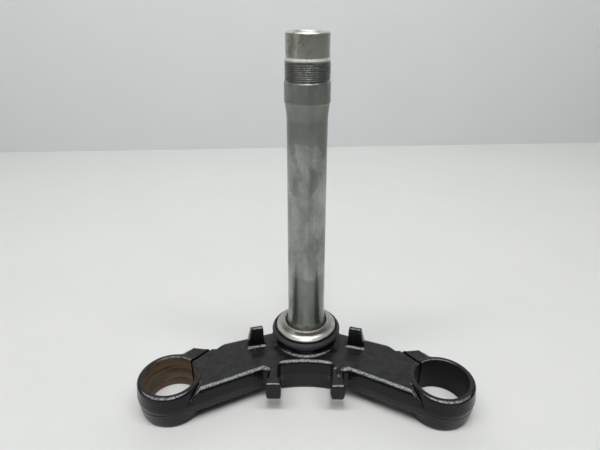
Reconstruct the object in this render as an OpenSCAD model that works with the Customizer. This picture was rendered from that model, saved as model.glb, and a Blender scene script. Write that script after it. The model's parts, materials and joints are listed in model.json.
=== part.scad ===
/* [Fork clamps] */
// Distance between the two fork tube centres
fork_spacing = 191.5; // [180:0.5:220]
// How far the fork tubes stand in front of the steering axis
fork_offset = 46; // [42:0.5:52]
// Diameter of the fork tubes that the clamps hold
fork_d = 37; // [34:0.5:39]
// Wall of each clamp ring at its widest, halfway up
clamp_wall = 5.6; // [5:0.1:7]
// Height of the clamp rings
clamp_h = 26.6; // [24:0.1:34]
// Rounding of the top rim of each clamp ring
clamp_rim = 2.2; // [1:0.1:2.8]
// Rounding of the lower edge of each clamp ring
clamp_foot = 2.5; // [1:0.1:2.8]
// Chamfer at both mouths of each fork bore
bore_chamfer = 0.5; // [0.3:0.1:0.8]
// Height of the fine forging line in the middle of each ring
flash_z = 12.4; // [10:0.2:14]
// How far the fine forging line stands out
flash_w = 0.2; // [0.1:0.05:0.4]
// Rise of the forging line towards the arm
flash_tilt = 6; // [0:0.5:8]
// Where the arm's rounded front edge ends beside the ring, sideways from the fork centre
relief_x = 23.1; // [22.8:0.1:23.6]
// Where that end starts, in front of the fork centre
relief_y = 5.4; // [4:0.1:8]
// Slope of the cut that ends the arm's front edge
relief_slope = 50; // [40:1:60]

/* [Pinch ears] */
// Direction of the slit, measured at the right clamp from the right hand side
slit_angle = 129; // [122:1:136]
// Width of the slit that lets the clamp close
slit_w = 2; // [1.5:0.1:3]
// Thickness of the outer ear, from the middle of the slit to the bolt seat
ear_w = 11.5; // [10:0.5:14]
// How far the flat back of the ears lies behind the fork centre, where it meets the arm
ear_rear = 28.4; // [27:0.1:32]
// How much further back the ears reach at the bolt seat
ear_flare = 2.3; // [0:0.1:4]
// Height of the ears' underside above the underside of the clamps
ear_lift = 1.2; // [0.5:0.1:4]
// Rounding of the ears' upper and lower edges at their flat back
ear_round = 2; // [1:0.1:4]
// Rounding of the outer ear's upper edge beside the bolt head
ear_brow = 1.2; // [0.8:0.1:3]
// How far the arm is cut back inside the slit, behind the ears
notch_step = 3.7; // [3:0.1:6]
// How far the inner ear reaches from the slit into the arm
inner_ear_w = 14; // [12:0.5:18]
// Radius of the round boss round each pinch bolt
boss_r = 8.2; // [7.8:0.1:9]
// Distance of the pinch bolt axis from the fork centre
bolt_reach = 26.8; // [26:0.1:29]
// Height of the pinch bolt axis above the underside
bolt_z = 13; // [12:0.5:16]

/* [Pinch bolts] */
// Thread diameter of the pinch bolts
bolt_d = 8; // [6:0.5:8]
// Length of a pinch bolt below its head
bolt_len = 30; // [27:0.5:34]
// Width across the flats of the bolt head
bolt_flats = 12; // [11:0.5:13]
// Height of the bolt head
bolt_head_h = 5.5; // [4:0.5:8]
// Clearance of the bolt in the outer ear, on the radius
bolt_clear = 0.25; // [0.1:0.05:0.5]
// Outer diameter of the spring washer
washer_d = 13.6; // [13:0.1:15]
// Thickness of the spring washer
washer_t = 2; // [1.2:0.1:2.5]
// Gap where the spring washer is split
washer_gap = 0.9; // [0.5:0.1:1.5]

/* [Arms] */
// Height of the top of the arms above the underside
arm_top = 26; // [23:0.1:26.4]
// Height of the underside of the arms
arm_under = 7.6; // [4:0.1:10]
// Radius that sets the width of the arms at the steering axis
arm_r = 17.9; // [16:0.1:20]
// How far the middle of the arms lies in front of the steering axis
arm_forward = 3.5; // [2:0.1:6]
// Rounding of the upper long edges of the arms
arm_edge = 4.2; // [2:0.1:5]
// Rounding of the lower long edges of the arms
arm_foot = 2.4; // [1:0.1:3]
// Height at which the forged sides are widest
forge_z = 15.5; // [15:0.5:18]
// Draft of the forged sides, above and below that height
draft = 7; // [4:0.5:8]

/* [Hub] */
// Radius of the hub round the stem, at its widest
hub_r = 28.2; // [28:0.1:30]
// Distance of the front wall of the hub from the steering axis
hub_front = 31.1; // [30:0.1:34]
// Rounding of the front wall's upper edge
wall_edge = 3; // [2:0.1:4]
// Radius of the turned boss under the dust seal
collar_r = 23.5; // [22:0.1:24.5]
// Height of the turned boss above the arms
collar_h = 5.5; // [3:0.1:8]
// Hollow fillet between the boss and the arms
collar_fillet = 3; // [2:0.1:3.4]
// Rounding of the lower edges of the hub and of its front wall
hub_edge = 1.5; // [0.5:0.1:2]
// Radius of the shallow hollow of the hub's front wall
wall_hollow_r = 82; // [60:1:120]

/* [Front lugs] */
// Distance of each lug's middle from the steering axis
lug_x = 22.6; // [20:0.1:26]
// Width of a lug
lug_w = 8.4; // [7:0.1:10]
// How far the lugs reach in front of the steering axis
lug_reach = 53; // [48:0.5:60]
// Height of a lug
lug_h = 14.4; // [10:0.1:16]
// Rounding of the lower edges of a lug
lug_round = 3; // [2:0.1:4]
// Rounding of the upper edges of a lug
lug_soft = 2; // [1:0.1:3]
// Rounding of a lug's end, below
lug_toe = 1.2; // [0.5:0.1:3]
// Hollow corner between a lug and the walls beside it
lug_web = 3.5; // [1:0.1:4]
// Drop of the lugs' top below the top of the arms
lug_drop = 0; // [0:0.1:3]
// How far in front of the steering axis the lugs leave the hub
lug_root = 21; // [18:0.5:26]
// Width of the pad at the end of each lug
pad_w = 10.8; // [9:0.1:12]
// Length of the pad at the end of each lug
pad_l = 6; // [4:0.1:9]
// Rounding of the left and right pads' upper edges
pad_softs = [1, 1.6]; // [0.5:0.1:3]
// Draft of the sides of the left and right pads
pad_drafts = [4, 12]; // [2:1:16]
// Fall of the left and right lugs' tops towards their ends
lug_falls = [0, 1.6]; // [0:0.1:2]

/* [Steering stops] */
// Distance of the middle of each stop's foot from the steering axis, sideways
stop_x = 37.8; // [36:0.1:44]
// Distance of each stop's front face in front of the steering axis
stop_front = 13.6; // [12:0.1:16]
// Turn of the stops, along the arms
stop_turn = 15; // [12:1:28]
// Height of the stops above the arms
stop_h = 15; // [12:0.5:20]
// Width of a stop at its foot
stop_foot_w = 12; // [11:0.1:15]
// Width of a stop at its top
stop_top_w = 9.5; // [7:0.1:11]
// How far the top of a stop leans towards the steering axis
stop_lean = 1.2; // [0:0.1:2]
// Depth of a stop at its foot
stop_foot_l = 7; // [6:0.1:12]
// Depth of a stop at its top
stop_top_l = 3.8; // [3:0.1:6]
// Hollow fillet round the foot of a stop
stop_fillet = 2.4; // [1:0.1:3]
// Rounding of the top edges of a stop
stop_crown = 1.4; // [0.5:0.1:1.8]

/* [Steering stem] */
// Height of the top of the stem above the underside of the forging
stem_top = 249.4; // [235:0.5:262]
// Diameter of the plain end above the thread
stem_end_d = 26.9; // [26:0.1:27]
// Height where the plain end starts, above the thread
thread_top = 235; // [233:0.5:238]
// Length of the sloping shoulder below the plain end
shoulder_len = 1.5; // [0.8:0.1:2]
// Outer diameter of the thread and of the ring above it
thread_d = 28.2; // [28:0.1:28.6]
// Length of the thread with its ring and shoulder
thread_len = 13.8; // [10:0.1:15]
// Root diameter of the thread
thread_root_d = 27; // [26.9:0.1:27.4]
// Diameter of the seat of the upper bearing
upper_seat_d = 29; // [28.4:0.1:30]
// Length of the seat of the upper bearing
upper_seat_len = 12.4; // [8:0.1:14]
// Diameter of the shank below the upper seat
shank_d = 26.2; // [25:0.1:27]
// Length of the taper between the upper seat and the shank
shank_taper = 10.5; // [6:0.5:14]
// Length of the even part of the shank below that taper
shank_even = 27; // [10:1:60]
// Diameter of the shank just above the lower flare
shank_low_d = 27.2; // [26.4:0.1:28]
// Diameter of the seat of the lower bearing race
lower_seat_d = 30.4; // [29.5:0.1:31]
// Length of the flare above the lower seat
flare_len = 11; // [8:0.5:14]
// Diameter of the bore through the stem
stem_bore_d = 19; // [16:0.5:21]
// Step from the lower seat out to the end that is pressed into the hub
press_step = 1.8; // [1:0.1:2.5]
// Chamfer at the ends of the stem
stem_chamfer = 1; // [0.5:0.1:1.5]

/* [Bearing race and seal] */
// Wall of the lower race, from its seat to its rim
race_wall = 7.45; // [7:0.05:8.4]
// Height of the lower race
race_h = 9.8; // [8.4:0.1:11]
// Height of the outer rim of the race
race_rim_h = 5.5; // [4:0.1:6]
// Radius of the ball track
track_r = 5.4; // [5:0.1:6.4]
// Width of the flat lip at the top of the race
race_lip_w = 2.5; // [1.8:0.1:2.8]
// How far the dust seal reaches past the race
seal_reach = 3.55; // [3.2:0.05:4.5]
// Thickness of the seal under the race
seal_web = 1.6; // [1:0.1:2]
// Height of the seal's raised lip
seal_lip_h = 5.4; // [4:0.1:6]
// Width of the seal's raised lip
seal_lip_w = 2.4; // [2:0.1:2.8]
// Fall of the lip's sloping top towards its outside
seal_fall = 2; // [1:0.1:2.4]
// How far the seal is drawn in below its lip
seal_neck = 1; // [0.4:0.1:1.4]

/* [Hidden] */
$fn = 96;
hull_fn = 32;
past = 1;
skin = 0.4;
fork_r = fork_d / 2;
clamp_r = fork_r + clamp_wall;
fork_x = fork_spacing / 2;
bolt_r = bolt_d / 2;
stem_seat_r = lower_seat_d / 2;
press_r = stem_seat_r + press_step;
race_r = stem_seat_r + race_wall;
seal_r = race_r + seal_reach;
collar_top = arm_top + collar_h;
seal_z = collar_top;
race_z = seal_z + seal_web;
thread_z = thread_top - thread_len;
upper_seat_z = thread_z - upper_seat_len;
flare_z = race_z + race_h - 2 * stem_chamfer;
head_corner_r = bolt_flats / 2 / cos(30);
washer_seat = ear_w + washer_t;
forging = [0.24, 0.24, 0.25];
slit_out = [cos(slit_angle), sin(slit_angle)];
slit_side = [sin(slit_angle), -cos(slit_angle)];
notch_reach = (ear_rear + notch_step * slit_side[1]) / slit_out[1];
notch_corner = notch_reach * slit_out - notch_step * slit_side;
arm_run = [fork_x, fork_offset - arm_forward];
arm_bearing = atan2(arm_run[1], arm_run[0]) + asin((clamp_r - skin - arm_r) / norm(arm_run));
lug_top = arm_top - lug_drop;
lug_under = lug_top - lug_h;

// Points on an arc, from one angle to another
function arc(centre, r, from, to, steps) =
    [for (i = [0:steps]) let (a = from + (to - from) * i / steps) centre + r * [cos(a), sin(a)]];

// How far a forged side has leaned in at a height, from where it is widest
function lean(height, waist = forge_z, slope = draft) = abs(height - waist) * tan(slope);

// The side of a forged body of this radius, from its rounded lower edge to its rounded upper one
function forged_side(r, low, high, foot, edge, waist = forge_z, slope = draft) = concat(
    arc([r - lean(low + foot, waist, slope) - foot, low + foot], foot, -90, -slope, 5),
    [[r, waist]],
    arc([r - lean(high - edge, waist, slope) - edge, high - edge], edge, slope, 90, 7));

// How far an arm's front lies in front of the steering axis, at this distance to the side
function arm_front(x) = arm_forward + arm_r / cos(arm_bearing) + x * tan(arm_bearing);

// The same side once more, on the left
function mirrored(side) = [for (i = [len(side) - 1:-1:0]) [-side[i][0], side[i][1]]];

// The room in front of a hollow wall of this radius, with the wall's rounded edges
function hollow(r, edge) = concat(
    [[0, -past], [r + 2 * edge, -past], [r + 2 * edge, 0]],
    [for (point = forged_side(0, 0, arm_top, hub_edge, edge)) [r - point[0], point[1]]],
    [[r + 2 * edge, arm_top], [r + 2 * edge, arm_top + past], [0, arm_top + past]]);

// Puts its children at the right clamp, and mirrors them for the left one
module at_clamp(side) {
    mirror([side < 0 ? 1 : 0, 0, 0]) translate([fork_x, -fork_offset, 0]) children();
}

// Turns its children from along the slit, so that +X runs out along it and +Y points to the bolt head
module along_slit() {
    rotate([0, 0, slit_angle]) mirror([0, 1, 0]) children();
}

// Lays its children on a pinch bolt's axis, with +Z pointing out of the bolt seat
module on_bolt_axis(side) {
    at_clamp(side) along_slit() translate([bolt_reach, 0, bolt_z]) rotate([-90, 0, 0]) children();
}

// The round end that an arm is drawn out between
module arm_end(r) {
    side = forged_side(r, arm_under, arm_top, arm_foot, arm_edge);
    rotate_extrude($fn = hull_fn) polygon(concat([[0, arm_under]], side, [[0, arm_top]]));
}

// One arm, tapering from the steering axis to its clamp
module arm(side) {
    hull() {
        translate([0, -arm_forward, 0]) arm_end(arm_r);
        at_clamp(side) arm_end(clamp_r - skin);
    }
}

// The slanting cut in front of a ring, where the arm's rounded front edge stops short of the rim
module rim_relief(side) {
    at_clamp(side) translate([-relief_x, -relief_y, arm_top]) rotate([0, relief_slope, 0])
        mirror([0, 1, 0]) cube([clamp_r, clamp_r, clamp_h]);
}

// The ring round one fork tube, with rounded edges and the forging line round it
module clamp_ring(side) {
    profile = concat(
        [[fork_r - past, 0]],
        forged_side(clamp_r, 0, clamp_h, clamp_foot, clamp_rim),
        [[fork_r - past, clamp_h]]);
    at_clamp(side) {
        rotate_extrude() polygon(profile);
        translate([-clamp_r * sin(flash_tilt) * tan(draft), 0, flash_z]) rotate([0, flash_tilt, 0])
            rotate_extrude() polygon([
                [fork_r + past, -2 * clamp_wall * flash_w],
                [clamp_r - lean(flash_z) + flash_w, 0],
                [fork_r + past, 2 * clamp_wall * flash_w]]);
    }
}

// The pair of ears that the pinch bolt draws together, before the slit is cut
module ears(side) {
    seat_reach = (ear_rear + ear_flare - ear_w * slit_side[1]) / slit_out[1];
    seat_corner = seat_reach * slit_out + ear_w * slit_side;
    ring_reach = sqrt(clamp_r * clamp_r - ear_w * ear_w);
    outline = [
        seat_corner,
        ring_reach * slit_out + ear_w * slit_side,
        [0, 0],
        notch_reach / 2 * slit_out - inner_ear_w * slit_side,
        notch_corner];
    back = concat(
        [[-2 * ear_rear, ear_lift]],
        arc([-ear_round, ear_lift + ear_round], ear_round, -90, 0, 6),
        arc([-ear_round, arm_top - ear_round], ear_round, 0, 90, 6),
        [[-2 * ear_rear, arm_top]]);
    brow = concat(
        [[-ear_rear, ear_lift], [ear_w, ear_lift]],
        arc([ear_w - ear_brow, arm_top - ear_brow], ear_brow, 0, 90, 6),
        [[-ear_rear, arm_top]]);
    at_clamp(side) intersection() {
        linear_extrude(clamp_h) polygon(outline);
        translate([notch_corner[0], notch_corner[1], 0])
            rotate([0, 0, atan2(ear_flare, seat_corner[0] - notch_corner[0])])
                translate([-ear_rear, 0, 0]) rotate([90, 0, 90]) linear_extrude(4 * ear_rear) polygon(back);
        along_slit() rotate([90, 0, 90]) linear_extrude(2 * ear_rear) polygon(brow);
    }
    on_bolt_axis(side) translate([0, 0, -slit_w]) cylinder(r = boss_r, h = ear_w + slit_w);
}

// The room behind the ears, where the arm is cut back
module ear_notch(side) {
    room = 40;
    outline = [
        notch_corner,
        notch_corner + room * slit_out,
        [room, notch_corner[1] + room],
        [room, notch_corner[1]]];
    at_clamp(side) linear_extrude(clamp_h + past) polygon(outline);
}

// The fork bore, the slit and the bolt hole of one clamp
module clamp_cuts(side) {
    at_clamp(side) {
        translate([0, 0, -past]) cylinder(r = fork_r, h = clamp_h + 2 * past);
        translate([0, 0, -past])
            cylinder(r1 = fork_r + bore_chamfer + past, r2 = fork_r, h = bore_chamfer + past);
        translate([0, 0, clamp_h - bore_chamfer])
            cylinder(r1 = fork_r, r2 = fork_r + bore_chamfer + past, h = bore_chamfer + past);
        along_slit() translate([fork_r / 2, -slit_w / 2, -past])
            cube([2 * ear_rear, slit_w, clamp_h + 2 * past]);
    }
    on_bolt_axis(side) {
        cylinder(r = bolt_r + bolt_clear, h = ear_w + past);
        translate([0, 0, ear_w - bolt_len]) cylinder(r = bolt_r, h = bolt_len);
        translate([0, 0, ear_w]) cylinder(r = boss_r, h = ear_rear);
    }
}

// The hub round the stem, with its turned boss and hollow fillet
module hub() {
    foot_r = collar_r + collar_fillet;
    profile = concat(
        [[0, 0]],
        forged_side(hub_r, 0, arm_top, hub_edge, skin),
        [for (a = [0:6]) [foot_r - collar_fillet * sin(15 * a), arm_top + collar_fillet * (1 - cos(15 * a))]],
        [[collar_r, collar_top - skin], [collar_r - skin, collar_top], [0, collar_top]]);
    rotate_extrude() polygon(profile);
}

// The block between the front lugs, with a shallow hollow face and rounded upper and lower edges
module front_wall() {
    difference() {
        translate([-lug_x, pad_l - lug_reach, 0]) cube([2 * lug_x, lug_reach - pad_l, arm_top]);
        translate([0, -hub_front - wall_hollow_r, 0]) rotate_extrude($fn = 360)
            polygon(hollow(wall_hollow_r, wall_edge));
    }
}

// The upright section of a lug, widest halfway up
module lug_section(w, soft, slope) {
    side = forged_side(w / 2, lug_under, lug_top, lug_round, soft, lug_under + lug_h / 2, slope);
    polygon(concat(side, mirrored(side)));
}

// One lug that points forward beside the hub, with a pad at its end
module front_lug(side) {
    hand = side < 0 ? 0 : 1;
    soft = pad_softs[hand];
    flank = concat(
        [[-lug_root, lug_under], [-lug_root, lug_top]],
        arc([soft - lug_reach, lug_top - lug_falls[hand] - soft], soft, 90, 180, 4),
        arc([lug_toe - lug_reach, lug_under + lug_toe], lug_toe, 180, 270, 4));
    mirror([side < 0 ? 1 : 0, 0, 0]) translate([lug_x, 0, 0]) intersection() {
        translate([-pad_w, 0, 0]) rotate([90, 0, 90]) linear_extrude(2 * pad_w) polygon(flank);
        union() {
            translate([0, -lug_root, 0]) rotate([90, 0, 0])
                linear_extrude(lug_reach - lug_root) lug_section(lug_w, lug_soft, draft);
            translate([0, pad_l - lug_reach, 0]) rotate([90, 0, 0])
                linear_extrude(pad_l) lug_section(pad_w, soft, pad_drafts[hand]);
        }
    }
}

// The hollow corners between a lug and the walls beside it
module lug_corners(side) {
    flank_x = lug_w / 2 + lug_web;
    inner_x = lug_x - flank_x;
    inner_r = wall_hollow_r - lug_web;
    inner_y = sqrt(inner_r * inner_r - inner_x * inner_x) - hub_front - wall_hollow_r;
    outer_x = lug_x + flank_x;
    mirror([side < 0 ? 1 : 0, 0, 0]) {
        lug_corner(inner_x, inner_y, wall_edge);
        lug_corner(outer_x, -arm_front(outer_x) - lug_web / cos(arm_bearing), arm_edge);
    }
}

// One hollow corner, filled round the upright axis through this point
module lug_corner(x, y, edge) {
    difference() {
        translate([min(x, lug_x), y, lug_under]) cube([abs(x - lug_x), -y - lug_root, arm_top - lug_under]);
        translate([x, y, 0]) rotate_extrude() polygon(hollow(lug_web, edge));
    }
}

// One steering stop, tapering up from a filleted foot
module steering_stop(side) {
    wide = 2 * stop_foot_w;
    mirror([side < 0 ? 1 : 0, 0, 0]) translate([stop_x, -stop_front, arm_top - past])
        rotate([0, 0, -stop_turn]) translate([0, stop_foot_l / 2, 0]) intersection() {
            translate([0, wide / 2, 0]) rotate([90, 0, 0])
                linear_extrude(wide) stop_face(stop_foot_w, stop_top_w, -stop_lean);
            translate([-wide / 2, 0, 0]) rotate([90, 0, 90])
                linear_extrude(wide) stop_face(stop_foot_l, stop_top_l, 0);
        }
}

// The outline of a stop from one side: a tapering post, its top shifted sideways, with a filleted foot
module stop_face(foot, top, shift) {
    toe = foot / 2 + stop_fillet;
    brow = top / 2 - stop_crown;
    crown_z = past + stop_h - stop_crown;
    polygon(concat(
        [[-toe, 0]],
        arc([-toe, past + stop_fillet], stop_fillet, -90, -draft, 5),
        arc([shift - brow, crown_z], stop_crown, 180 - draft, 90, 5),
        arc([shift + brow, crown_z], stop_crown, 90, draft, 5),
        arc([toe, past + stop_fillet], stop_fillet, 180 + draft, 270, 5),
        [[toe, 0]]));
}

// The forging: two clamps on one bridge, with the hub for the stem
module yoke() {
    color(forging) difference() {
        union() {
            for (side = [-1, 1]) {
                difference() {
                    arm(side);
                    ear_notch(side);
                    rim_relief(side);
                }
                clamp_ring(side);
                ears(side);
                front_lug(side);
                lug_corners(side);
                steering_stop(side);
            }
            hub();
            front_wall();
        }
        for (side = [-1, 1]) {
            clamp_cuts(side);
        }
        translate([0, 0, -past]) cylinder(r = press_r, h = collar_top + 2 * past);
    }
}

// The hollow stem that turns in the steering head
module steering_stem() {
    press_top = collar_top - stem_chamfer;
    ring_z = thread_top - shoulder_len;
    profile = [
        [stem_bore_d / 2, 0],
        [press_r - stem_chamfer, 0],
        [press_r, stem_chamfer],
        [press_r, press_top],
        [stem_seat_r, press_top],
        [stem_seat_r, flare_z - skin],
        [stem_seat_r - skin, flare_z + 4 * skin],
        [shank_low_d / 2 + skin, flare_z + flare_len / 2],
        [shank_low_d / 2, flare_z + flare_len],
        [shank_d / 2, upper_seat_z - shank_taper - shank_even],
        [shank_d / 2, upper_seat_z - shank_taper],
        [shank_d / 2 + skin, upper_seat_z - shank_taper / 2],
        [upper_seat_d / 2 - skin, upper_seat_z - 2 * skin],
        [upper_seat_d / 2, upper_seat_z],
        [upper_seat_d / 2, thread_z - skin],
        [thread_root_d / 2, thread_z + skin],
        [thread_root_d / 2, ring_z - 2 * skin],
        [thread_d / 2, ring_z - skin],
        [thread_d / 2, ring_z],
        [stem_end_d / 2, thread_top],
        [stem_end_d / 2, stem_top - stem_chamfer],
        [stem_end_d / 2 - stem_chamfer, stem_top],
        [stem_bore_d / 2 + stem_chamfer, stem_top],
        [stem_bore_d / 2, stem_top - stem_chamfer]];
    color([0.55, 0.56, 0.55]) rotate_extrude() polygon(profile);
}

// The lower race, whose hollow track the balls run on
module lower_bearing_race() {
    lip_r = stem_seat_r + race_lip_w;
    rim_r = race_r - skin;
    span = [rim_r - lip_r, race_rim_h - race_h];
    chord = norm(span);
    middle = [(rim_r + lip_r) / 2, (race_rim_h + race_h) / 2];
    sink = sqrt(track_r * track_r - chord * chord / 4);
    centre = middle + sink * [-span[1], span[0]] / chord;
    start = atan2(race_h - centre[1], lip_r - centre[0]);
    finish = atan2(race_rim_h - centre[1], rim_r - centre[0]);
    profile = concat(
        [[stem_seat_r, skin], [stem_seat_r + skin, 0]],
        [[race_r - skin, 0], [race_r, skin], [race_r, race_rim_h - skin]],
        arc(centre, track_r, finish, start, 10),
        [[stem_seat_r + stem_chamfer, race_h], [stem_seat_r, race_h - stem_chamfer]]);
    color([0.82, 0.83, 0.84]) translate([0, 0, race_z]) rotate_extrude() polygon(profile);
}

// The rubber seal that sits under the race and turns its lip up round it
module dust_seal() {
    lip_r = seal_r - seal_lip_w;
    waist_r = seal_r - seal_neck;
    shoulder = seal_lip_h - seal_fall;
    profile = [
        [stem_seat_r, 0],
        [waist_r - skin, 0],
        [waist_r, skin],
        [waist_r, shoulder - seal_neck - skin],
        [seal_r, shoulder - seal_neck],
        [seal_r, shoulder - skin],
        [seal_r - skin, shoulder + skin],
        [lip_r + skin, seal_lip_h],
        [lip_r, seal_lip_h - skin],
        [lip_r, seal_web + skin],
        [lip_r - skin, seal_web],
        [stem_seat_r, seal_web]];
    color([0.16, 0.16, 0.16]) translate([0, 0, seal_z]) rotate_extrude() polygon(profile);
}

// One pinch bolt, with a chamfered hexagon head
module pinch_bolt(side) {
    crown = head_corner_r - bolt_flats / 2;
    color([0.5, 0.5, 0.48]) on_bolt_axis(side) {
        translate([0, 0, washer_seat - bolt_len]) cylinder(r = bolt_r, h = bolt_len);
        translate([0, 0, washer_seat]) intersection() {
            cylinder(r = head_corner_r, h = bolt_head_h, $fn = 6);
            rotate_extrude() polygon([
                [0, 0],
                [head_corner_r, 0],
                [head_corner_r, bolt_head_h - crown],
                [bolt_flats / 2 - 0.3, bolt_head_h],
                [0, bolt_head_h]]);
        }
    }
}

// One spring washer, split at the side that points away from the fork tube
module spring_washer(side) {
    color([0.6, 0.6, 0.58]) on_bolt_axis(side) translate([0, 0, ear_w]) difference() {
        cylinder(d = washer_d, h = washer_t);
        translate([0, 0, -past]) cylinder(r = bolt_r + 0.2, h = washer_t + 2 * past);
        translate([0, -washer_gap / 2, -past]) cube([washer_d, washer_gap, washer_t + 2 * past]);
    }
}

module left_pinch_bolt() pinch_bolt(-1);
module right_pinch_bolt() pinch_bolt(1);
module left_spring_washer() spring_washer(-1);
module right_spring_washer() spring_washer(1);

yoke();
steering_stem();
lower_bearing_race();
dust_seal();
left_pinch_bolt();
right_pinch_bolt();
left_spring_washer();
right_spring_washer();
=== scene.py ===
import json
import math

import bmesh
import bpy
from mathutils import Matrix, Vector


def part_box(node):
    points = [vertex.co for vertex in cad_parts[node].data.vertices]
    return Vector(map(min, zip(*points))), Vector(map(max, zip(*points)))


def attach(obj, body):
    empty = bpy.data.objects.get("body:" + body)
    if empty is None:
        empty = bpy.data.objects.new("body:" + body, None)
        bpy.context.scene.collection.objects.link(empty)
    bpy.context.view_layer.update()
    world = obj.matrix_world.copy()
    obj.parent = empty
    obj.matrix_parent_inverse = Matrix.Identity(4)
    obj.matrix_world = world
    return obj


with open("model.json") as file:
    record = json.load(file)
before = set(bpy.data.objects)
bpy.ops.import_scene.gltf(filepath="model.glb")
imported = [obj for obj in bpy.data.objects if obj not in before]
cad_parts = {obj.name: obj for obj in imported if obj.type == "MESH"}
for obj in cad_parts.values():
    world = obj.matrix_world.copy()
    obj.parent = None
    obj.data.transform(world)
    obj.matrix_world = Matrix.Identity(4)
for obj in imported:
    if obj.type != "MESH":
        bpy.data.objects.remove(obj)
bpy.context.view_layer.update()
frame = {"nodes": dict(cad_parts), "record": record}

MM = 0.001
MOUNTS = {mount["name"]: mount for mount in frame["record"]["mounts"]}


def mount_ends(name):
    """The z where an upright mount of the record starts, and the z where it ends."""
    middle = MOUNTS[name]["pos_m"][2]
    half = MOUNTS[name]["dims"]["length_mm"] * MM / 2
    return middle - half, middle + half


# Heights on the part, from the frame
SEAT_LOW, SEAT_TOP = mount_ends("upper_bearing_seat")
END_LOW, END_TOP = mount_ends("upper_yoke_seat")
RACE_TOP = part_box("lower_bearing_race")[1].z

# The stem's thread, which the solids leave to this script as a plain turned neck
THREAD_LOW = SEAT_TOP + 0.3 * MM
THREAD_HIGH = END_LOW - 2.4 * MM
THREAD_ROOT_R = 13.5 * MM
THREAD_CREST_R = 14.1 * MM
THREAD_PITCH = 1.25 * MM
# How far the foot of the ridge lies inside the neck
THREAD_SUNK = 0.1 * MM
# Half the width of the ridge's foot and of its crest, as shares of the pitch
HALF_FOOT, HALF_CREST = 0.46, 0.10
STEPS_A_TURN = 96
# The steps over which the ridge rises from the neck at each end
RUN_OUT_STEPS = STEPS_A_TURN / 3

# The height of the sloping shoulder under the stem's plain end
SHOULDER = 1.5 * MM

# Where the stem's colour zones end, and its rust spot
UPPER_ZONE_Z = 0.1955
PATCHES_TOP_Z = 0.19
LOWER_ZONE_Z = 0.0975
LOWER_ZONE_X = -7.5 * MM
RUST_SPOT_PLACE = (0.6 * MM, -14.5 * MM, 44.5 * MM)

# The way that the edges of the paint face where a highlight is painted on them in pale specks: forward and up
HIGHLIGHT_WAY = (0.0, -0.5, 0.866)

# Colours, as linear red, green and blue
PAINT_DEEP, PAINT_FADED = (0.0026, 0.0028, 0.0033), (0.0060, 0.0063, 0.0070)
PAINT_DUST_AND_TOP_LIGHT = (0.12, 0.12, 0.115)
PAINT_HIGHLIGHT = (0.46, 0.47, 0.49)
RUST_DARK, RUST_BRIGHT = (0.055, 0.040, 0.030), (0.200, 0.115, 0.068)
RUST_OLIVE = (0.125, 0.118, 0.072)
BORE_BLACK = (0.004, 0.0038, 0.0036)
ZINC_DARK, ZINC_LIGHT = (0.17, 0.19, 0.185), (0.38, 0.40, 0.38)
ZINC_BLOOM = (0.40, 0.405, 0.375)
ZINC_PATCH = (0.11, 0.125, 0.115)
ZINC_RUN = (0.12, 0.13, 0.115)
ZINC_GREEN = (0.19, 0.205, 0.180)
END_DARK, END_LIGHT = (0.38, 0.385, 0.35), (0.62, 0.62, 0.57)
END_STAIN = (0.25, 0.215, 0.12)
THREAD_GREASE = (0.15, 0.145, 0.125)
RUST_SPOT = (0.22, 0.095, 0.022)
FOOT_GREASE = (0.13, 0.11, 0.065)
PALE_STEEL_GLINT = (0.84, 0.84, 0.80)
RACE_BRIGHT, RACE_DULL = (0.54, 0.54, 0.52), (0.42, 0.415, 0.385)
RACE_GREASE = (0.33, 0.32, 0.265)
RUBBER_BLACK, RUBBER_GREY = (0.014, 0.0145, 0.0155), (0.034, 0.035, 0.038)
BOLT_DARK, BOLT_LIGHT = (0.30, 0.29, 0.25), (0.46, 0.44, 0.36)
BOLT_RUST = (0.14, 0.075, 0.03)
FLOOR_DARK, FLOOR_LIGHT = (0.70, 0.71, 0.69), (0.76, 0.765, 0.745)
WALL_DARK, WALL_LIGHT = (0.72, 0.735, 0.74), (0.76, 0.775, 0.78)
ROOM_TINT = (0.95, 0.975, 1.0)

# The camera stands where the photograph was taken from
CAMERA_PLACE = (0.0, -0.2948, 0.2671)
CAMERA_PITCH = math.radians(26.04)
CAMERA_PAN = math.radians(-0.90)
CAMERA_ROLL = math.radians(-0.04)
FOCAL_PIXELS = 467
IMAGE_WIDTH = 600
SENSOR_WIDTH = 36.0
CLIP_NEAR, CLIP_FAR = 0.01, 50

# The floor, and the foot of the wall at the photograph's left and right edges
FLOOR_HALF = 5.0
WALL_LEFT = (-0.588, 0.560)
WALL_RIGHT = (0.596, 0.643)
WALL_HEIGHT = 1.6

# The world's strength on the camera's side and behind the part
DIM_SIDE, PALE_SIDE = 0.08, 0.35
# The y of a direction up to which it is dim, and from which it is pale
DIM_UNTIL, PALE_FROM = -0.35, 0.55

# The lamps
YOKE_MIDDLE = (0.0, -0.04, 0.02)
PANEL_Z = 1.4
SIDE_PANEL_X, SIDE_PANEL_Y = 0.45, -0.30
SIDE_PANEL_SIZE = (0.20, 0.80)
SIDE_PANEL_TURN = math.radians(32)
SIDE_PANEL_WATTS = 5.8
MIDDLE_PANEL_Y = -0.45
MIDDLE_PANEL_SIZE = (0.22, 0.80)
MIDDLE_PANEL_WATTS = 6.6
WASH_PLACE, WASH_AIM = (0.0, 0.05, 1.2), (0.0, 0.62, 0.50)
WASH_SIZE = (1.6, 0.25)
WASH_SPREAD = math.radians(90)
WASH_WATTS = 0.8
FILL_PLACE = (-1.3, -0.7, 0.6)
FILL_SIZE = (0.5, 0.9)
FILL_WATTS = 1.6


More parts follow.
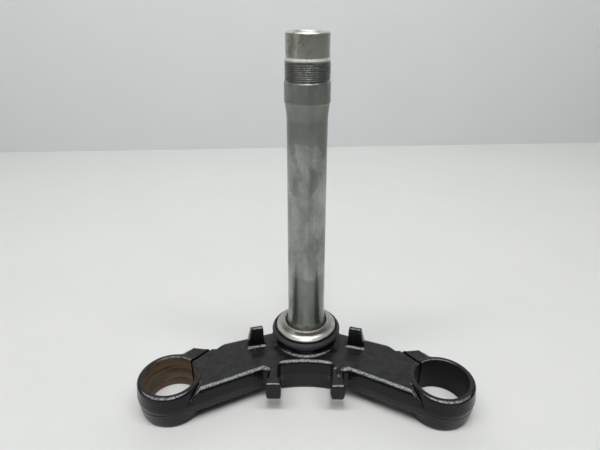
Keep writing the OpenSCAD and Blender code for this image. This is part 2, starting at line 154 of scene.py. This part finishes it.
class Nodes:
    """A material's node tree, with one short call for each kind of node."""

    def __init__(self, name):
        self.material = bpy.data.materials.new(name)
        self.material.use_nodes = True
        self.tree = self.material.node_tree
        self.shader = self.tree.nodes["Principled BSDF"]
        self.place = self.add("ShaderNodeTexCoord").outputs["Object"]

    def add(self, kind, **settings):
        node = self.tree.nodes.new(kind)
        for name, value in settings.items():
            setattr(node, name, value)
        return node

    def put(self, socket, value):
        """Links the value to the socket if it is another node's output, and otherwise sets it."""
        if isinstance(value, bpy.types.NodeSocket):
            self.tree.links.new(value, socket)
        else:
            socket.default_value = value

    def add_linked(self, kind, value):
        node = self.add(kind)
        self.put(node.inputs[0], value)
        return node

    def math(self, operation, *values):
        node = self.add("ShaderNodeMath", operation=operation)
        for socket, value in zip(node.inputs, values):
            self.put(socket, value)
        return node.outputs[0]

    def vector(self, operation, a, b, output="Vector"):
        node = self.add("ShaderNodeVectorMath", operation=operation)
        for socket, value in zip(node.inputs, (a, b)):
            self.put(socket, value)
        return node.outputs[output]

    def axes(self):
        """The surface point's x, y and z in metres."""
        return self.add_linked("ShaderNodeSeparateXYZ", self.place).outputs

    def stretched(self, *scale):
        """The surface point, scaled on each axis."""
        return self.vector("MULTIPLY", self.place, scale)

    def radius(self, x, y):
        """Distance of the surface point from the upright axis through x and y."""
        point_x, point_y, _ = self.axes()
        across = self.math("SUBTRACT", point_x, x)
        along = self.math("SUBTRACT", point_y, y)
        squares = self.math("ADD", self.math("MULTIPLY", across, across), self.math("MULTIPLY", along, along))
        return self.math("SQRT", squares)

    def noise(self, scale, detail, rough, place=None, warp=0.0):
        """Noise from 0 to 1, with this many waves in a metre."""
        node = self.add("ShaderNodeTexNoise")
        self.put(node.inputs["Vector"], place or self.place)
        node.inputs["Scale"].default_value = scale
        node.inputs["Detail"].default_value = detail
        node.inputs["Roughness"].default_value = rough
        node.inputs["Distortion"].default_value = warp
        return node.outputs["Fac"]

    def ramp(self, value, low, high):
        """0 below low, 1 above high, and smooth in between. With low above high it falls instead."""
        node = self.add("ShaderNodeMapRange", interpolation_type="SMOOTHSTEP")
        self.put(node.inputs["Value"], value)
        node.inputs["From Min"].default_value = min(low, high)
        node.inputs["From Max"].default_value = max(low, high)
        node.inputs["To Min"].default_value = 0.0 if low < high else 1.0
        node.inputs["To Max"].default_value = 1.0 if low < high else 0.0
        return node.outputs["Result"]

    def above(self, value, border, blur):
        """1 above the border and 0 below it, with a blur to each side."""
        return self.ramp(value, border - blur, border + blur)

    def below(self, value, border, blur):
        """1 below the border and 0 above it, with a blur to each side."""
        return self.ramp(value, border + blur, border - blur)

    def both(self, *masks):
        """1 where every mask is 1."""
        out = masks[0]
        for mask in masks[1:]:
            out = self.math("MULTIPLY", out, mask)
        return out

    def mix(self, factor, a, b):
        """Colour a where the factor is 0, and colour b where it is 1."""
        node = self.add("ShaderNodeMix", data_type="RGBA")
        self.put(node.inputs["Factor"], factor)
        for socket, value in ((node.inputs[6], a), (node.inputs[7], b)):
            self.put(socket, value if isinstance(value, bpy.types.NodeSocket) else (*value, 1.0))
        return node.outputs[2]

    def cover(self, color, layer, mask, amount):
        """The colour, covered by the layer's colour to this amount where the mask is 1."""
        return self.mix(self.math("MULTIPLY", mask, amount), color, layer)

    def blend(self, factor, a, b):
        """Number a where the factor is 0, and number b where it is 1."""
        node = self.add("ShaderNodeMix", data_type="FLOAT")
        for socket, value in zip((node.inputs[0], node.inputs[2], node.inputs[3]), (factor, a, b)):
            self.put(socket, value)
        return node.outputs[0]

    def bump(self, height, depth, strength, under):
        """The normal under it, made uneven by the height."""
        node = self.add("ShaderNodeBump")
        self.put(node.inputs["Height"], height)
        node.inputs["Distance"].default_value = depth
        node.inputs["Strength"].default_value = strength
        self.put(node.inputs["Normal"], under)
        return node.outputs["Normal"]

    def soft_edges(self, radius):
        """The normal, turned smoothly over the edges and the facets within the radius."""
        node = self.add("ShaderNodeBevel", samples=8)
        node.inputs["Radius"].default_value = radius
        return node.outputs["Normal"]

    def upwardness(self):
        """The z of the normal."""
        normal = self.add("ShaderNodeNewGeometry").outputs["Normal"]
        return self.add_linked("ShaderNodeSeparateXYZ", normal).outputs["Z"]

    def finish(self, **sockets):
        """Puts values on the shader's sockets, and gives the material."""
        names = {"color": "Base Color", "rough": "Roughness", "metal": "Metallic", "normal": "Normal",
                 "specular": "Specular IOR Level"}
        for name, value in sockets.items():
            self.put(self.shader.inputs[names[name]], value)
        return self.material


def in_clamp_bore(m, side):
    """1 on the wall of one fork clamp's bore."""
    mount = MOUNTS[side + "_fork_clamp"]
    wall = mount["dims"]["r_mm"] * MM
    return m.below(m.radius(*mount["pos_m"][:2]), wall + 0.2 * MM, 0.1 * MM)


def black_paint():
    """The forging's glossy black: dust that also paints its tops lighter, a painted highlight in pale specks
    on the edges in front, and rust in the left fork bore.
    """
    m = Nodes("black_paint_look")
    left_bore, right_bore = in_clamp_bore(m, "left"), in_clamp_bore(m, "right")
    cloud = m.noise(55, 5, 0.6)

    # Paint with dust on level faces that also lightens them as painted light, and a painted highlight in pale
    # specks on the rounded edges in front
    upward = m.ramp(m.upwardness(), 0.80, 0.98)
    # Dust on the upward faces, which also serves as painted light: it makes the tops lighter
    dust_and_top_light = m.both(m.ramp(m.noise(150, 5, 0.6), 0.20, 0.80), upward)
    # Painted highlight: pale specks on the rounded edges that face forward and up, on top of the lamps' real
    # reflection there
    facing = m.vector("DOT_PRODUCT", m.soft_edges(1.6 * MM), HIGHLIGHT_WAY, output="Value")
    painted_highlight = m.both(m.ramp(facing, 0.915, 0.965), m.ramp(m.noise(900, 3, 0.6), 0.34, 0.58))
    paint = m.mix(cloud, PAINT_DEEP, PAINT_FADED)
    paint = m.cover(paint, PAINT_DUST_AND_TOP_LIGHT, dust_and_top_light, 0.14)
    paint = m.cover(paint, PAINT_HIGHLIGHT, painted_highlight, 0.70)

    # Level streaks of rust in the left bore, and an almost black right bore
    streaks = m.noise(58, 5, 0.65, place=m.stretched(0.45, 0.45, 5.0), warp=0.8)
    rust = m.mix(m.ramp(streaks, 0.34, 0.66), RUST_DARK, RUST_BRIGHT)
    rust = m.cover(rust, RUST_OLIVE, m.ramp(m.noise(95, 5, 0.6), 0.48, 0.68), 0.75)
    color = m.mix(left_bore, paint, rust)
    color = m.mix(right_bore, color, BORE_BLACK)

    # A gloss that is duller under dust and in the bores, over a slight orange peel
    rough = m.blend(cloud, 0.13, 0.19)
    rough = m.blend(m.math("MULTIPLY", dust_and_top_light, 0.2), rough, 0.45)
    rough = m.blend(m.math("MAXIMUM", left_bore, right_bore), rough, 0.6)
    peel = m.noise(680, 2, 0.5)
    grain = m.noise(1500, 3, 0.6)
    height = m.math("ADD", m.math("MULTIPLY", grain, 0.18), peel)
    normal = m.bump(height, 0.30 * MM, 1.0, m.soft_edges(1.4 * MM))
    return m.finish(color=color, rough=rough, normal=normal, specular=0.3)


def zinc_steel():
    """The stem's dull plated steel, in zones, with stains, a dirty thread, a painted highlight as pale metal
    on its shoulder and top rim, where the rim is also worn, and a rust spot.
    """
    m = Nodes("zinc_steel_look")
    x, _, z = m.axes()
    blotch = m.noise(70, 6, 0.62, place=m.stretched(1.0, 1.0, 0.55))
    fine = m.noise(380, 5, 0.7)

    # Blotches, dark patches below the upper zone, and dark runs down the stem
    color = m.mix(m.ramp(blotch, 0.30, 0.72), ZINC_DARK, ZINC_LIGHT)
    color = m.cover(color, ZINC_BLOOM, m.ramp(fine, 0.42, 0.70), 0.35)
    patches = m.ramp(m.noise(62, 3, 0.55, place=m.stretched(1.0, 1.0, 0.5)), 0.56, 0.64)
    color = m.cover(color, ZINC_PATCH, m.both(patches, m.below(z, PATCHES_TOP_Z, 10 * MM)), 0.45)
    runs = m.noise(210, 3, 0.6, place=m.stretched(1.0, 1.0, 0.02))
    color = m.cover(color, ZINC_RUN, m.ramp(runs, 0.55, 0.68), 0.35)

    # A greener zone up to the bearing seat, and one at the bottom but for its left side
    wave = m.math("MULTIPLY", m.noise(42, 1.5, 0.4, place=m.stretched(1.0, 1.0, 0.0)), 18 * MM)
    level = m.math("ADD", z, wave)
    upper = m.both(m.above(level, UPPER_ZONE_Z, MM), m.ramp(z, SEAT_TOP + 0.5 * MM, SEAT_LOW - 0.3 * MM))
    ragged_x = m.math("ADD", x, m.math("MULTIPLY", fine, 4 * MM))
    lower = m.both(m.below(level, LOWER_ZONE_Z, MM), m.above(ragged_x, LOWER_ZONE_X, 2.5 * MM))
    color = m.cover(color, ZINC_GREEN, m.math("MAXIMUM", upper, lower), 0.70)

    # The bright plain end with its yellow stain, and the dirty thread
    end = m.above(z, THREAD_HIGH + 0.3 * MM, 0.3 * MM)
    color = m.cover(color, m.mix(blotch, END_DARK, END_LIGHT), end, 0.8)
    specks = m.ramp(m.noise(210, 5, 0.75), 0.46, 0.60)
    stain = m.both(m.above(z, END_LOW + 2 * MM, MM), specks, m.below(x, 3 * MM, 7 * MM))
    color = m.cover(color, END_STAIN, stain, 0.6)
    threaded = m.both(m.above(z, THREAD_LOW - 0.2 * MM, 0.2 * MM), m.below(z, THREAD_HIGH, 0.3 * MM))
    color = m.cover(color, THREAD_GREASE, threaded, 0.55)

    # The rust spot, and old grease where the stem stands in the race
    from_spot = m.vector("DISTANCE", m.place, RUST_SPOT_PLACE, output="Value")
    ragged_spot = m.math("ADD", from_spot, m.math("MULTIPLY", m.noise(600, 4, 0.6), 2.2 * MM))
    rust = m.below(ragged_spot, 2.4 * MM, 1.2 * MM)
    color = m.cover(color, RUST_SPOT, rust, 0.85)
    foot = m.both(m.below(z, RACE_TOP + 2.5 * MM, 2.5 * MM), m.ramp(m.noise(260, 5, 0.7), 0.35, 0.6))
    color = m.cover(color, FOOT_GREASE, foot, 0.5)

    # Painted highlight as pale, rougher metal on the shoulder and, less, on the top rim, which is also worn
    above_shoulder, below_shoulder = END_LOW + 0.1 * MM, END_LOW - SHOULDER - 0.05 * MM
    shoulder_glint = m.both(m.above(z, below_shoulder, 0.15 * MM), m.below(z, above_shoulder, 0.2 * MM))
    rim_wear_and_glint = m.math("MULTIPLY", m.above(z, END_TOP + 0.15 * MM, 0.15 * MM), 0.55)
    wear_and_glint = m.both(m.math("MAXIMUM", shoulder_glint, rim_wear_and_glint), m.ramp(fine, 0.25, 0.50))
    color = m.cover(color, PALE_STEEL_GLINT, wear_and_glint, 0.80)

    # Satin metal, rougher where the pale highlight metal is painted, dull where it is rusty, with fine
    # upright lines
    rough = m.blend(wear_and_glint, m.blend(blotch, 0.36, 0.22), 0.45)
    rough = m.blend(rust, rough, 0.85)
    metal = m.blend(rust, m.blend(wear_and_glint, 0.88, 0.5), 0.1)
    lines = m.noise(300, 3, 0.6, place=m.stretched(1.0, 1.0, 0.04))
    height = m.math("ADD", m.math("MULTIPLY", lines, 0.6), fine)
    normal = m.bump(height, 0.03 * MM, 0.6, m.soft_edges(1.0 * MM))
    return m.finish(color=color, rough=rough, metal=metal, normal=normal)


def bearing_steel():
    """The race's polished steel, with turned rings and a film of old grease near its top."""
    m = Nodes("bearing_steel_look")
    _, _, z = m.axes()
    along_radius = m.add_linked("ShaderNodeCombineXYZ", m.radius(0.0, 0.0)).outputs[0]
    rings = m.ramp(m.noise(1400, 2, 0.5, place=along_radius), 0.35, 0.65)
    film = m.noise(140, 5, 0.65)
    high = m.above(m.math("ADD", z, m.math("MULTIPLY", film, MM)), RACE_TOP - 2.4 * MM, 0.7 * MM)
    color = m.mix(m.ramp(film, 0.35, 0.75), RACE_BRIGHT, RACE_DULL)
    color = m.cover(color, RACE_GREASE, high, 0.55)
    rough = m.blend(m.ramp(film, 0.4, 0.7), 0.32, m.blend(rings, 0.34, 0.42))
    return m.finish(color=color, rough=rough, metal=1.0, normal=m.soft_edges(1.4 * MM))


def seal_rubber():
    """The dust seal's matt black rubber, unevenly greyed by dust."""
    m = Nodes("seal_rubber_look")
    cloud = m.noise(160, 5, 0.65)
    grain = m.noise(1100, 4, 0.6)
    normal = m.bump(grain, 0.08 * MM, 0.6, m.soft_edges(0.3 * MM))
    return m.finish(color=m.mix(cloud, RUBBER_BLACK, RUBBER_GREY), rough=m.blend(cloud, 0.42, 0.62),
                    normal=normal, specular=0.45)


def bolt_steel():
    """The plated steel of the pinch bolts and their washers, dulled, yellowed and a little rusty."""
    m = Nodes("bolt_steel_look")
    cloud = m.noise(300, 5, 0.65)
    color = m.mix(cloud, BOLT_DARK, BOLT_LIGHT)
    color = m.cover(color, BOLT_RUST, m.ramp(m.noise(520, 5, 0.7), 0.55, 0.7), 0.5)
    grain = m.noise(1500, 3, 0.6)
    normal = m.bump(grain, 0.05 * MM, 0.5, m.soft_edges(0.4 * MM))
    return m.finish(color=color, rough=m.blend(cloud, 0.34, 0.55), metal=0.85, normal=normal)


def dress():
    """Gives every CAD node the look of its material slot, and returns the looks by slot."""
    looks = {"black_paint": black_paint(), "zinc_steel": zinc_steel(), "bearing_steel": bearing_steel(),
             "seal_rubber": seal_rubber(), "bolt_steel": bolt_steel()}
    for part in frame["record"]["subparts"]:
        for place in frame["nodes"][part["node"]].material_slots:
            place.material = looks[part["material_slot"]]
    return looks


def stem_thread(look):
    """The fine thread that stands on the stem's turned neck: one ridge wound up along a helix."""
    count = int((THREAD_HIGH - THREAD_LOW) / THREAD_PITCH * STEPS_A_TURN)
    half_foot, half_crest = HALF_FOOT * THREAD_PITCH, HALF_CREST * THREAD_PITCH
    foot = THREAD_ROOT_R - THREAD_SUNK
    mesh = bmesh.new()
    sections = []
    for i in range(count + 1):
        angle = 2 * math.pi * i / STEPS_A_TURN
        z = THREAD_LOW + THREAD_PITCH * i / STEPS_A_TURN
        rise = min(1.0, i / RUN_OUT_STEPS, (count - i) / RUN_OUT_STEPS)
        crest = THREAD_ROOT_R + (THREAD_CREST_R - THREAD_ROOT_R) * rise
        outline = [(foot, -half_foot), (crest, -half_crest), (crest, half_crest), (foot, half_foot)]
        sections.append([mesh.verts.new((r * math.cos(angle), r * math.sin(angle), z + dz))
                         for r, dz in outline])
    for a, b in zip(sections, sections[1:]):
        for k in range(4):
            mesh.faces.new((a[k], b[k], b[(k + 1) % 4], a[(k + 1) % 4]))
    mesh.faces.new(sections[0])
    mesh.faces.new(sections[-1])
    bmesh.ops.recalc_face_normals(mesh, faces=mesh.faces)
    data = bpy.data.meshes.new("stem_thread")
    mesh.to_mesh(data)
    mesh.free()
    data.materials.append(look)
    ridge = bpy.data.objects.new("stem_thread", data)
    bpy.context.scene.collection.objects.link(ridge)
    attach(ridge, "root")


def camera():
    """The camera of the photograph."""
    data = bpy.data.cameras.new("camera")
    data.sensor_width = SENSOR_WIDTH
    data.lens = SENSOR_WIDTH * FOCAL_PIXELS / IMAGE_WIDTH
    data.clip_start, data.clip_end = CLIP_NEAR, CLIP_FAR
    forward = Vector((math.sin(CAMERA_PAN) * math.cos(CAMERA_PITCH),
                      math.cos(CAMERA_PAN) * math.cos(CAMERA_PITCH),
                      -math.sin(CAMERA_PITCH)))
    level = Vector((math.cos(CAMERA_PAN), -math.sin(CAMERA_PAN), 0.0))
    right = Matrix.Rotation(-CAMERA_ROLL, 3, forward) @ level
    up = right.cross(forward)
    turn = Matrix((right, up, -forward)).transposed()
    eye = bpy.data.objects.new("camera", data)
    eye.matrix_world = Matrix.Translation(CAMERA_PLACE) @ turn.to_4x4()
    bpy.context.scene.collection.objects.link(eye)
    bpy.context.scene.camera = eye


def sheet(name, corners, look):
    """A flat part of the room, with one face."""
    data = bpy.data.meshes.new(name)
    data.from_pydata(corners, [], [(0, 1, 2, 3)])
    data.materials.append(look)
    flat = bpy.data.objects.new(name, data)
    bpy.context.scene.collection.objects.link(flat)


def paper(name, dark, light):
    """A plain pale colour for a part of the room, a little uneven. It gives the node tree."""
    m = Nodes(name)
    m.finish(color=m.mix(m.noise(9, 5, 0.6), dark, light), rough=0.7, specular=0.2)
    return m


def floor_and_wall():
    """The pale floor, and behind the part a pale wall that shows from its front only."""
    floor = paper("floor_look", FLOOR_DARK, FLOOR_LIGHT)
    corners = [(-FLOOR_HALF, -FLOOR_HALF, 0), (FLOOR_HALF, -FLOOR_HALF, 0),
               (FLOOR_HALF, FLOOR_HALF, 0), (-FLOOR_HALF, FLOOR_HALF, 0)]
    sheet("floor", corners, floor.material)
    wall = paper("wall_look", WALL_DARK, WALL_LIGHT)
    rear = wall.add("ShaderNodeNewGeometry").outputs["Backfacing"]
    one_way = wall.add("ShaderNodeMixShader")
    wall.put(one_way.inputs[0], rear)
    wall.put(one_way.inputs[1], wall.shader.outputs[0])
    wall.put(one_way.inputs[2], wall.add("ShaderNodeBsdfTransparent").outputs[0])
    wall.put(wall.tree.nodes["Material Output"].inputs["Surface"], one_way.outputs[0])
    left, right = Vector((*WALL_LEFT, 0.0)), Vector((*WALL_RIGHT, 0.0))
    seen, up = right - left, Vector((0.0, 0.0, WALL_HEIGHT))
    start, end = left - seen, right + seen
    sheet("wall", [start, end, end + up, start + up], wall.material)


def surroundings():
    """The light of the room round the part: pale behind it, and dim on the camera's side."""
    world = bpy.data.worlds.new("world")
    bpy.context.scene.world = world
    world.use_nodes = True
    tree = world.node_tree
    tree.nodes.clear()
    way = tree.nodes.new("ShaderNodeTexCoord")
    axes = tree.nodes.new("ShaderNodeSeparateXYZ")
    tree.links.new(way.outputs["Generated"], axes.inputs[0])
    rearward = tree.nodes.new("ShaderNodeMapRange")
    rearward.interpolation_type = "SMOOTHSTEP"
    tree.links.new(axes.outputs["Y"], rearward.inputs["Value"])
    rearward.inputs["From Min"].default_value = DIM_UNTIL
    rearward.inputs["From Max"].default_value = PALE_FROM
    rearward.inputs["To Min"].default_value = DIM_SIDE
    rearward.inputs["To Max"].default_value = PALE_SIDE
    light = tree.nodes.new("ShaderNodeBackground")
    light.inputs["Color"].default_value = (*ROOM_TINT, 1.0)
    tree.links.new(rearward.outputs["Result"], light.inputs["Strength"])
    out = tree.nodes.new("ShaderNodeOutputWorld")
    tree.links.new(light.outputs[0], out.inputs[0])


def lamp(name, place, size, watts, aim=YOKE_MIDDLE, turn=0.0, spread=math.pi):
    """A flat soft lamp that looks at the aim, turned about its own line of sight."""
    data = bpy.data.lights.new(name, "AREA")
    data.shape = "RECTANGLE"
    data.size, data.size_y = size
    data.energy = watts
    data.spread = spread
    light = bpy.data.objects.new(name, data)
    light.location = place
    look = (Vector(place) - Vector(aim)).to_track_quat("Z", "Y")
    light.rotation_euler = (look.to_matrix() @ Matrix.Rotation(turn, 3, "Z")).to_euler()
    bpy.context.scene.collection.objects.link(light)


def lamps():
    """Three soft panels overhead, a weak wash on the wall and a weak fill from the left.

    The panels hang and turn so that the rounded front edges of the yoke mirror them to the camera.
    """
    for side in (-1, 1):
        lamp("panel", (side * SIDE_PANEL_X, SIDE_PANEL_Y, PANEL_Z), SIDE_PANEL_SIZE, SIDE_PANEL_WATTS,
             turn=side * SIDE_PANEL_TURN)
    lamp("panel", (0.0, MIDDLE_PANEL_Y, PANEL_Z), MIDDLE_PANEL_SIZE, MIDDLE_PANEL_WATTS)
    lamp("wall_wash", WASH_PLACE, WASH_SIZE, WASH_WATTS, aim=WASH_AIM, spread=WASH_SPREAD)
    lamp("fill", FILL_PLACE, FILL_SIZE, FILL_WATTS)


looks = dress()
stem_thread(looks["zinc_steel"])
camera()
floor_and_wall()
surroundings()
lamps()

bpy.context.scene.view_settings.view_transform = "Standard"
